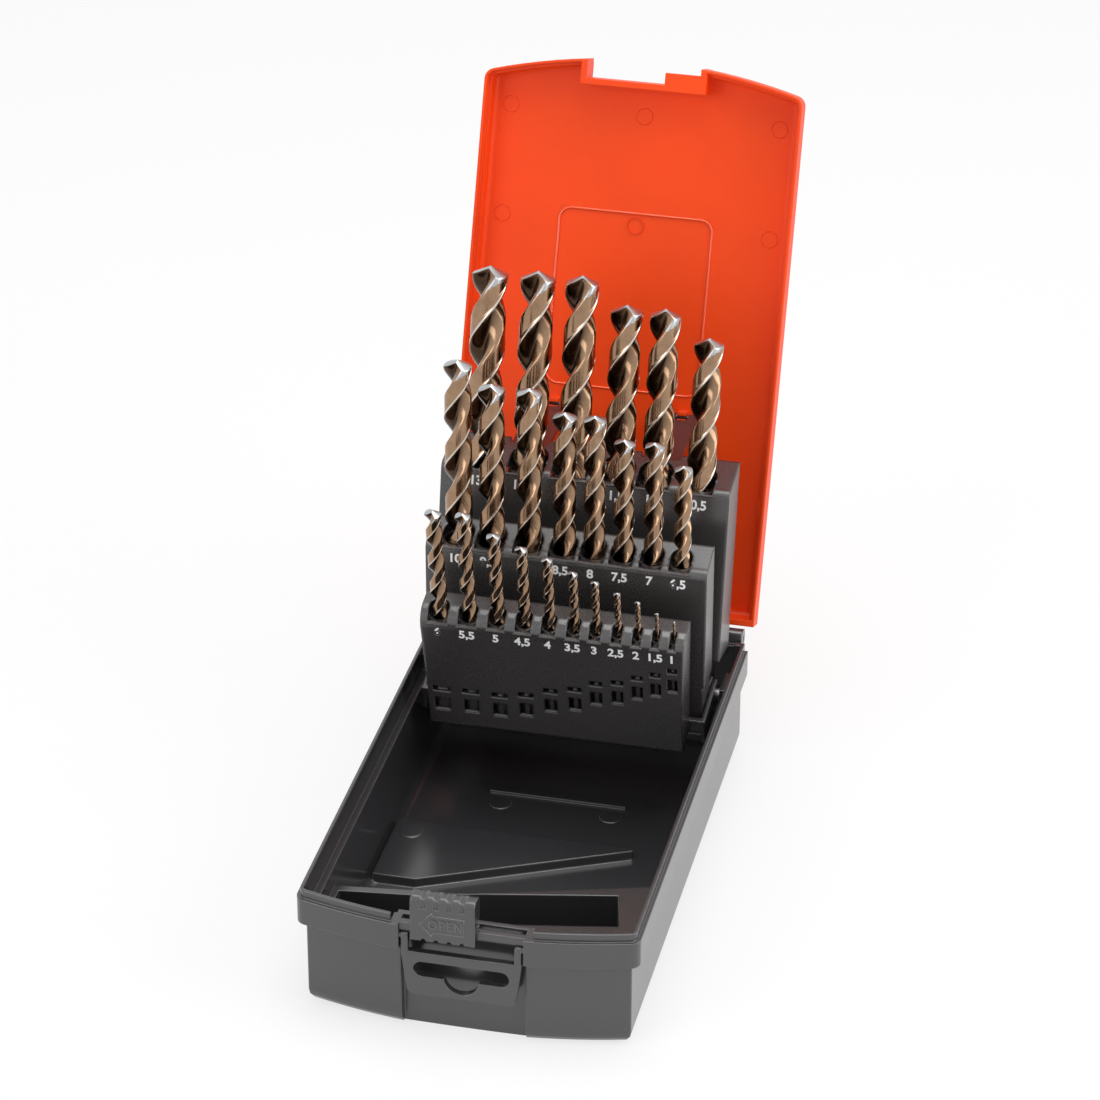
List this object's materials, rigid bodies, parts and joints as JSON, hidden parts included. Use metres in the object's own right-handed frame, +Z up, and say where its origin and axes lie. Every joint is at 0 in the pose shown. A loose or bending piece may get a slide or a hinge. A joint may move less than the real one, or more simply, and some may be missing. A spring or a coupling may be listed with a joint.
{
  "type": "drill bit case",
  "caption": "Flat plastic case for twist drills whose racks stand up as the lid opens, with a sliding latch and a fold-out hanging tab.",
  "frame": {"origin": "centre of the base's underside", "axes": "+X to the right seen from the latch, +Y towards the hinge, +Z up"},
  "size_m": [0.1176, 0.292, 0.2342],
  "materials": {
    "case_black": "black injection-moulded plastic, satin outside and glossier inside",
    "lid_orange": "orange-red moulded plastic, lightly textured",
    "trim_black": "matt black moulded plastic",
    "rack_black": "satin black moulded plastic with white numbers",
    "arm_black": "glossy black plastic",
    "pin_steel": "drawn steel rod",
    "drill_bronze": "bronze-tinted ground high-speed steel with bright margins and points"
  },
  "bodies": {
    "base": {"base": "case_black", "hinge_pin": "pin_steel", "rack_pin_left": "pin_steel", "rack_pin_right": "pin_steel"},
    "lid": {"lid": "lid_orange"},
    "rack_front": {"rack_front": "rack_black"},
    "rack_middle": {"rack_middle": "rack_black"},
    "rack_back": {"rack_back": "rack_black"},
    "arm_left": {"arm_left": "arm_black"},
    "arm_right": {"arm_right": "arm_black"},
    "latch_slider": {"latch_slider": "trim_black"},
    "hanger_tab": {"hanger_tab": "trim_black"},
    "drill_13": {"drill_13": "drill_bronze"},
    "drill_12_5": {"drill_12_5": "drill_bronze"},
    "drill_12": {"drill_12": "drill_bronze"},
    "drill_11_5": {"drill_11_5": "drill_bronze"},
    "drill_11": {"drill_11": "drill_bronze"},
    "drill_10_5": {"drill_10_5": "drill_bronze"},
    "drill_10": {"drill_10": "drill_bronze"},
    "drill_9_5": {"drill_9_5": "drill_bronze"},
    "drill_9": {"drill_9": "drill_bronze"},
    "drill_8_5": {"drill_8_5": "drill_bronze"},
    "drill_8": {"drill_8": "drill_bronze"},
    "drill_7_5": {"drill_7_5": "drill_bronze"},
    "drill_7": {"drill_7": "drill_bronze"},
    "drill_6_5": {"drill_6_5": "drill_bronze"},
    "drill_6": {"drill_6": "drill_bronze"},
    "drill_5_5": {"drill_5_5": "drill_bronze"},
    "drill_5": {"drill_5": "drill_bronze"},
    "drill_4_5": {"drill_4_5": "drill_bronze"},
    "drill_4": {"drill_4": "drill_bronze"},
    "drill_3_5": {"drill_3_5": "drill_bronze"},
    "drill_3": {"drill_3": "drill_bronze"},
    "drill_2_5": {"drill_2_5": "drill_bronze"},
    "drill_2": {"drill_2": "drill_bronze"},
    "drill_1_5": {"drill_1_5": "drill_bronze"},
    "drill_1": {"drill_1": "drill_bronze"}
  },
  "joints": [
    {"name": "lid_hinge", "type": "hinge", "parent": "base", "child": "lid", "pos_m": [0, 0.101, 0.0433], "axis": [-1, 0, 0], "range_deg": [-111.65, 0]},
    {"name": "rack_front_hinge", "type": "hinge", "parent": "base", "child": "rack_front", "pos_m": [0, 0.07, 0.038], "axis": [-1, 0, 0], "range_deg": [-79.01, 0]},
    {"name": "rack_middle_hinge", "type": "hinge", "parent": "base", "child": "rack_middle", "pos_m": [0, 0.07, 0.038], "axis": [-1, 0, 0], "range_deg": [-90.01, 0]},
    {"name": "rack_back_hinge", "type": "hinge", "parent": "base", "child": "rack_back", "pos_m": [0, 0.07, 0.038], "axis": [-1, 0, 0], "range_deg": [-102.01, 0]},
    {"name": "arm_left_hinge", "type": "hinge", "parent": "lid", "child": "arm_left", "pos_m": [-0.0242, 0.13721, 0.11285], "axis": [-1, 0, 0], "range_deg": [0, 106.2]},
    {"name": "arm_right_hinge", "type": "hinge", "parent": "lid", "child": "arm_right", "pos_m": [0.0242, 0.13721, 0.11285], "axis": [-1, 0, 0], "range_deg": [0, 106.2]},
    {"name": "latch_slide", "type": "slide", "parent": "base", "child": "latch_slider", "axis": [1, 0, 0], "range_m": [0, 0.012]},
    {"name": "hanger_hinge", "type": "hinge", "parent": "base", "child": "hanger_tab", "pos_m": [0, -0.103, 0.03875], "axis": [-1, 0, 0], "range_deg": [0, 90]},
    {"name": "drill_13_slide", "type": "slide", "parent": "rack_back", "child": "drill_13", "axis": [0, 0.2079, 0.9781], "range_m": [0, 0.0797]},
    {"name": "drill_12_5_slide", "type": "slide", "parent": "rack_back", "child": "drill_12_5", "axis": [0, 0.2079, 0.9781], "range_m": [0, 0.0797]},
    {"name": "drill_12_slide", "type": "slide", "parent": "rack_back", "child": "drill_12", "axis": [0, 0.2079, 0.9781], "range_m": [0, 0.0797]},
    {"name": "drill_11_5_slide", "type": "slide", "parent": "rack_back", "child": "drill_11_5", "axis": [0, 0.2079, 0.9781], "range_m": [0, 0.0797]},
    {"name": "drill_11_slide", "type": "slide", "parent": "rack_back", "child": "drill_11", "axis": [0, 0.2079, 0.9781], "range_m": [0, 0.0797]},
    {"name": "drill_10_5_slide", "type": "slide", "parent": "rack_back", "child": "drill_10_5", "axis": [0, 0.2079, 0.9781], "range_m": [0, 0.0797]},
    {"name": "drill_10_slide", "type": "slide", "parent": "rack_middle", "child": "drill_10", "axis": [0, 0, 1], "range_m": [0, 0.063]},
    {"name": "drill_9_5_slide", "type": "slide", "parent": "rack_middle", "child": "drill_9_5", "axis": [0, 0, 1], "range_m": [0, 0.063]},
    {"name": "drill_9_slide", "type": "slide", "parent": "rack_middle", "child": "drill_9", "axis": [0, 0, 1], "range_m": [0, 0.063]},
    {"name": "drill_8_5_slide", "type": "slide", "parent": "rack_middle", "child": "drill_8_5", "axis": [0, 0, 1], "range_m": [0, 0.063]},
    {"name": "drill_8_slide", "type": "slide", "parent": "rack_middle", "child": "drill_8", "axis": [0, 0, 1], "range_m": [0, 0.063]},
    {"name": "drill_7_5_slide", "type": "slide", "parent": "rack_middle", "child": "drill_7_5", "axis": [0, 0, 1], "range_m": [0, 0.063]},
    {"name": "drill_7_slide", "type": "slide", "parent": "rack_middle", "child": "drill_7", "axis": [0, 0, 1], "range_m": [0, 0.063]},
    {"name": "drill_6_5_slide", "type": "slide", "parent": "rack_middle", "child": "drill_6_5", "axis": [0, 0, 1], "range_m": [0, 0.063]},
    {"name": "drill_6_slide", "type": "slide", "parent": "rack_front", "child": "drill_6", "axis": [0, -0.1908, 0.9816], "range_m": [0, 0.0493]},
    {"name": "drill_5_5_slide", "type": "slide", "parent": "rack_front", "child": "drill_5_5", "axis": [0, -0.1908, 0.9816], "range_m": [0, 0.049]},
    {"name": "drill_5_slide", "type": "slide", "parent": "rack_front", "child": "drill_5", "axis": [0, -0.1908, 0.9816], "range_m": [0, 0.0499]},
    {"name": "drill_4_5_slide", "type": "slide", "parent": "rack_front", "child": "drill_4_5", "axis": [0, -0.1908, 0.9816], "range_m": [0, 0.0484]},
    {"name": "drill_4_slide", "type": "slide", "parent": "rack_front", "child": "drill_4", "axis": [0, -0.1908, 0.9816], "range_m": [0, 0.0471]},
    {"name": "drill_3_5_slide", "type": "slide", "parent": "rack_front", "child": "drill_3_5", "axis": [0, -0.1908, 0.9816], "range_m": [0, 0.0471]},
    {"name": "drill_3_slide", "type": "slide", "parent": "rack_front", "child": "drill_3", "axis": [0, -0.1908, 0.9816], "range_m": [0, 0.0412]},
    {"name": "drill_2_5_slide", "type": "slide", "parent": "rack_front", "child": "drill_2_5", "axis": [0, -0.1908, 0.9816], "range_m": [0, 0.0413]},
    {"name": "drill_2_slide", "type": "slide", "parent": "rack_front", "child": "drill_2", "axis": [0, -0.1908, 0.9816], "range_m": [0, 0.0363]},
    {"name": "drill_1_5_slide", "type": "slide", "parent": "rack_front", "child": "drill_1_5", "axis": [0, -0.1908, 0.9816], "range_m": [0, 0.0316]},
    {"name": "drill_1_slide", "type": "slide", "parent": "rack_front", "child": "drill_1", "axis": [0, -0.1908, 0.9816], "range_m": [0, 0.0285]}
  ],
  "couplings": [
    {"joint": "rack_front_hinge", "follows": "lid_hinge", "ratio": 0.70757},
    {"joint": "rack_middle_hinge", "follows": "lid_hinge", "ratio": 0.80609},
    {"joint": "rack_back_hinge", "follows": "lid_hinge", "ratio": 0.91357},
    {"joint": "arm_left_hinge", "follows": "lid_hinge", "ratio": -0.951},
    {"joint": "arm_right_hinge", "follows": "lid_hinge", "ratio": -0.951}
  ]
}
